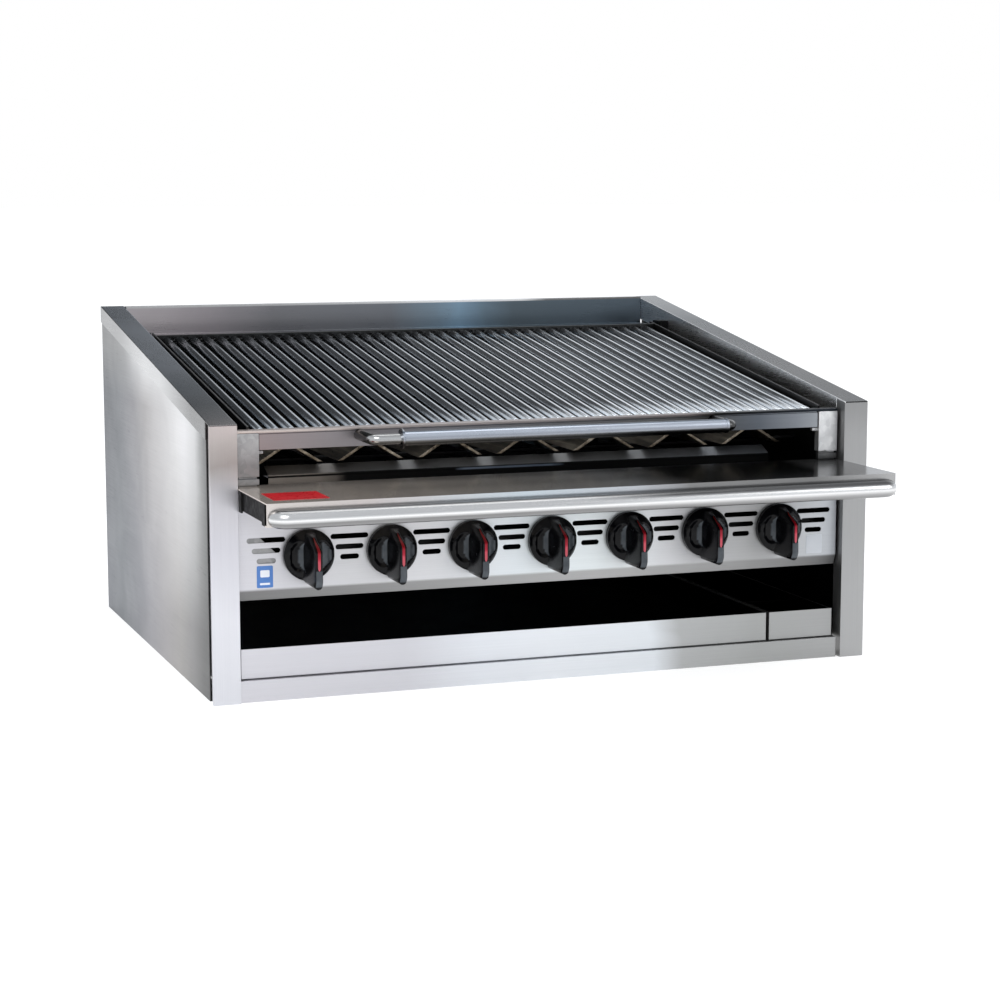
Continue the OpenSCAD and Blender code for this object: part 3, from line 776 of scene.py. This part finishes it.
def knob_mesh(name, centre, face_y, material):
    xs = [-33, -32.6, -31.8, -30.5, -28.5, -26, -23, -20, -17, -14.5, -12.5, -11, -9.8, -8.8,
          -8, -7.3, -6.7, -6.1, -5.6, -5.1, -4.6, -4.1, -3.6, -3, -2.2, -1.2, 0]
    xs += [-x for x in reversed(xs[:-1])]
    rows = 84
    verts, faces, sheen_values = [], [], []
    for x in xs:
        top = math.sqrt(max(0.0, SKIRT_R ** 2 - x * x))
        low = outline_low(x)
        for k in range(rows + 1):
            t = k / rows
            t = 0.5 - 0.5 * math.cos(math.pi * t) * (0.75 + 0.25 * abs(math.cos(math.pi * t)))
            z = low + (top - low) * t
            rim = 1.0 if k in (0, rows) else 0.0
            depth = knob_depth(x, z) - (1.2 * rim if abs(x) < 32.9 else 1.2)
            if k == 0 and abs(x) < 5.4:
                depth = min(depth, 40.0)
            verts.append((centre.x + x * MM, face_y - depth * MM, centre.z + z * MM))
            sheen_values.append(knob_painted_sheen(x, z))
    n = rows + 1
    for i in range(len(xs) - 1):
        for k in range(rows):
            a = i * n + k
            faces.append((a, a + n, a + n + 1, a + 1))
    # skirt wall down to the back, and the back face
    rim = [i * n for i in range(len(xs))] + [i * n + rows for i in reversed(range(len(xs)))]
    base = len(verts)
    for index in rim:
        v = verts[index]
        verts.append((v[0], face_y, v[2]))
        sheen_values.append(0.0)
    count = len(rim)
    for k in range(count):
        a, b = rim[k], rim[(k + 1) % count]
        if a == b:
            continue
        faces.append((b, a, base + k, base + (k + 1) % count))
    faces.append(tuple(base + k for k in range(count)))
    obj = mesh_object(name, verts, faces, material, 45)
    # painted highlight strength at each point, for the knob material
    painted_sheen = obj.data.attributes.new("painted_sheen", "FLOAT", "POINT")
    painted_sheen.data.foreach_set("value", sheen_values)
    weld = obj.modifiers.new("weld", "WELD")
    weld.merge_threshold = 0.00002
    return obj


def pointer_line(name, centre, face_y, material):
    """Thin raised strip that follows the knob's ridge."""
    verts, faces = [], []
    steps = 40
    top, low = 25.0, -13.5
    for k in range(steps + 1):
        z = top + (low - top) * k / steps
        half = 1.9 * (0.35 + 0.65 * smooth(0, 10, k)) * (1 - 0.5 * smooth(steps - 3, steps, k))
        depth = knob_depth(0, z)
        for x, d in ((-half, -0.3), (-half * 0.7, 0.12), (half * 0.7, 0.12), (half, -0.3)):
            verts.append((centre.x + x * MM, face_y - (depth + d) * MM, centre.z + z * MM))
    for k in range(steps):
        for j in range(3):
            a = k * 4 + j
            faces.append((a, a + 4, a + 5, a + 1))
    faces.append((0, 1, 2, 3))
    last = steps * 4
    faces.append((last + 3, last + 2, last + 1, last))
    return mesh_object(name, verts, faces, material, 60)


for n in range(1, KNOBS + 1):
    lo, hi = BOX[f"knob_{n}"]
    centre = Vector(((lo.x + hi.x) / 2, 0, hi.z - SKIRT_R * MM))
    back = hi.y
    body = knob_mesh(f"knob_{n}_body", centre, back, M["knob"])
    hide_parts(f"knob_{n}")
    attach(body, f"knob_{n}")
    line = pointer_line(f"knob_{n}_line", centre, back, M["red_line"])
    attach(line, f"knob_{n}")

# ------------------------------------------------------------------ blank label plates


def plate(name, origin, right, up, width, height, thick, material, corner=1.5 * MM, sides=6):
    """Thin plate with rounded corners and a softened rim. origin is the middle of its back."""
    out = right.cross(up).normalized()
    ring = []
    for cx, cy, a0 in ((1, 1, 0), (-1, 1, 90), (-1, -1, 180), (1, -1, 270)):
        for k in range(sides + 1):
            a = math.radians(a0 + 90 * k / sides)
            px = cx * (width / 2 - corner) + corner * math.cos(a)
            py = cy * (height / 2 - corner) + corner * math.sin(a)
            ring.append((px, py))
    verts, faces = [], []
    levels = ((0.0, 0.0), (0.0, thick * 0.6), (thick * 0.4, thick))
    for inset, level in levels:
        for px, py in ring:
            sx, sy = 1 - 2 * inset / width, 1 - 2 * inset / height
            verts.append(origin + right * px * sx + up * py * sy + out * level)
    m = len(ring)
    for level in range(len(levels) - 1):
        for k in range(m):
            a, b = level * m + k, level * m + (k + 1) % m
            faces.append((a, b, b + m, a + m))
    faces.append(tuple(range((len(levels) - 1) * m, len(levels) * m)))
    faces.append(tuple(reversed(range(m))))
    return mesh_object(name, verts, faces, material)


X, Y, Z = Vector((1, 0, 0)), Vector((0, 1, 0)), Vector((0, 0, 1))
FOIL = 0.3 * MM
INK = 0.09 * MM
ledge_top = BOX["front_ledge"][1].z
panel_face = BOX["control_panel"][0].y
ledge_spot = Vector((-371.5 * MM, Y_FRONT - 84.5 * MM, ledge_top))
left_spot = Vector((-386 * MM, panel_face, 158 * MM))
right_spot = Vector((386 * MM, panel_face, 158 * MM))
plates = [
    plate("ledge_label", ledge_spot, X, Y, 70 * MM, 64 * MM, FOIL, M["red_plate"]),
    plate("panel_label_left", left_spot, X, Z, 21 * MM, 28 * MM, FOIL, M["blue_plate"]),
    plate("panel_label_left_blank", left_spot + Vector((0, -FOIL, 4 * MM)), X, Z, 12 * MM, 9 * MM, INK,
          M["white_ink"]),
    plate("panel_label_left_bar", left_spot + Vector((0, -FOIL, -9 * MM)), X, Z, 13 * MM, 2.6 * MM, INK,
          M["white_ink"], 0.6 * MM),
    plate("panel_label_right", right_spot, X, Z, 24 * MM, 26 * MM, FOIL, M["pale_plate"]),
]
for piece in plates:
    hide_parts("label_plates")
    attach(piece, "casing")

# ------------------------------------------------------------------ floor, light and camera
mesh = bpy.data.meshes.new("floor")
mesh.from_pydata([(-40, -40, 0), (40, -40, 0), (40, 40, 0), (-40, 40, 0)], [], [(0, 1, 2, 3)])
floor = bpy.data.objects.new("floor", mesh)
bpy.context.scene.collection.objects.link(floor)
g = Graph("pale_floor")
cloud = g.span(g.noise(g.place(), 3.0, 3.0), 0.3, 0.7)
g.link(g.mix(cloud, (0.50, 0.50, 0.50), (0.53, 0.53, 0.53)), g.bsdf.inputs["Base Color"])
g.bsdf.inputs["Roughness"].default_value = 0.9
g.bsdf.inputs["Specular IOR Level"].default_value = 0.0
g.bsdf.inputs["Emission Color"].default_value = (1, 1, 1, 1)
g.bsdf.inputs["Emission Strength"].default_value = 0.62
mesh.materials.append(g.mat)

world = bpy.data.worlds.new("studio")
bpy.context.scene.world = world
world.use_nodes = True
wt = world.node_tree
for node in list(wt.nodes):
    wt.nodes.remove(node)


def wnode(kind, **values):
    node = wt.nodes.new(kind)
    for key, value in values.items():
        setattr(node, key, value)
    return node


def wmath(operation, a, b=None):
    node = wnode("ShaderNodeMath", operation=operation)
    for socket, value in zip(node.inputs, (a, b)):
        if value is None:
            continue
        if isinstance(value, (int, float)):
            socket.default_value = value
        else:
            wt.links.new(value, socket)
    return node.outputs[0]


def wspan(value, lo, hi, a, b):
    node = wnode("ShaderNodeMapRange", interpolation_type="SMOOTHSTEP")
    for key, v in (("From Min", lo), ("From Max", hi), ("To Min", a), ("To Max", b)):
        node.inputs[key].default_value = v
    wt.links.new(value, node.inputs["Value"])
    return node.outputs["Result"]


coord = wnode("ShaderNodeTexCoord")
parts3 = wnode("ShaderNodeSeparateXYZ")
wt.links.new(coord.outputs["Generated"], parts3.inputs[0])
wx, wy, wz = parts3.outputs
azimuth = wmath("ARCTAN2", wx, wy)
elevation = wmath("ARCSINE", wz)
DEG = math.pi / 180


def sky_patch(az, el):
    """1 inside a rectangle of the sky, 0 outside. Each side is (start, full, fade, end) in degrees."""
    cover = None
    for value, (start, full, fade, end) in ((azimuth, az), (elevation, el)):
        step = wmath("MULTIPLY", wspan(value, start * DEG, full * DEG, 0.0, 1.0),
                     wspan(value, fade * DEG, end * DEG, 1.0, 0.0))
        cover = step if cover is None else wmath("MULTIPLY", cover, step)
    return cover


CARD_DARKENS = 0.93
BOX_BRIGHTENS = 0.8
# a dark card hangs behind the object, and a soft box stands to the right of it
card = sky_patch((-36, -28, 11, 20), (2, 9, 44, 60))
box = sky_patch((38, 44, 74, 84), (8, 14, 36, 44))
lit = wmath("ADD", 1.0, wmath("MULTIPLY", box, BOX_BRIGHTENS))
level = wmath("SUBTRACT", lit, wmath("MULTIPLY", card, CARD_DARKENS))
backdrop = wnode("ShaderNodeBackground")
backdrop.inputs["Color"].default_value = (0.93, 0.96, 1.0, 1)
wt.links.new(level, backdrop.inputs["Strength"])
white = wnode("ShaderNodeBackground")
white.inputs["Color"].default_value = (1, 1, 1, 1)
white.inputs["Strength"].default_value = 1.0
path_node = wnode("ShaderNodeLightPath")
mixer = wnode("ShaderNodeMixShader")
wt.links.new(path_node.outputs["Is Camera Ray"], mixer.inputs[0])
wt.links.new(backdrop.outputs[0], mixer.inputs[1])
wt.links.new(white.outputs[0], mixer.inputs[2])
out = wnode("ShaderNodeOutputWorld")
wt.links.new(mixer.outputs[0], out.inputs["Surface"])


def area(name, place, target, size, power, colour=(1, 1, 1)):
    light = bpy.data.lights.new(name, "AREA")
    light.shape = "RECTANGLE"
    light.size, light.size_y = size
    light.energy = power
    light.color = colour
    obj = bpy.data.objects.new(name, light)
    obj.location = place
    obj.rotation_euler = (Vector(target) - Vector(place)).to_track_quat("-Z", "Y").to_euler()
    bpy.context.scene.collection.objects.link(obj)
    return obj


area("key", (-1.6, -2.6, 2.8), (0, 0, 0.2), (2.2, 1.6), 55)
area("fill", (2.4, -2.2, 1.8), (0, 0, 0.2), (1.6, 1.6), 22)
area("top", (0.2, 0.6, 3.2), (0, 0, 0.3), (2.6, 1.4), 30)

# camera: at the photograph's distance, height and angle
cam_data = bpy.data.cameras.new("camera")
cam_data.sensor_width = 36.0
cam_data.lens = 84.03
cam_data.clip_end = 200
camera = bpy.data.objects.new("camera", cam_data)
bpy.context.scene.collection.objects.link(camera)
yaw, pitch = math.radians(19.96), math.radians(8.01)
look = Vector((math.sin(yaw) * math.cos(pitch), math.cos(yaw) * math.cos(pitch), -math.sin(pitch)))
camera.location = Vector((-1.0960, Y_FRONT - 2.8076, 0.6629))
camera.rotation_euler = look.to_track_quat("-Z", "Y").to_euler()
bpy.context.scene.camera = camera
bpy.context.scene.view_settings.view_transform = "Standard"
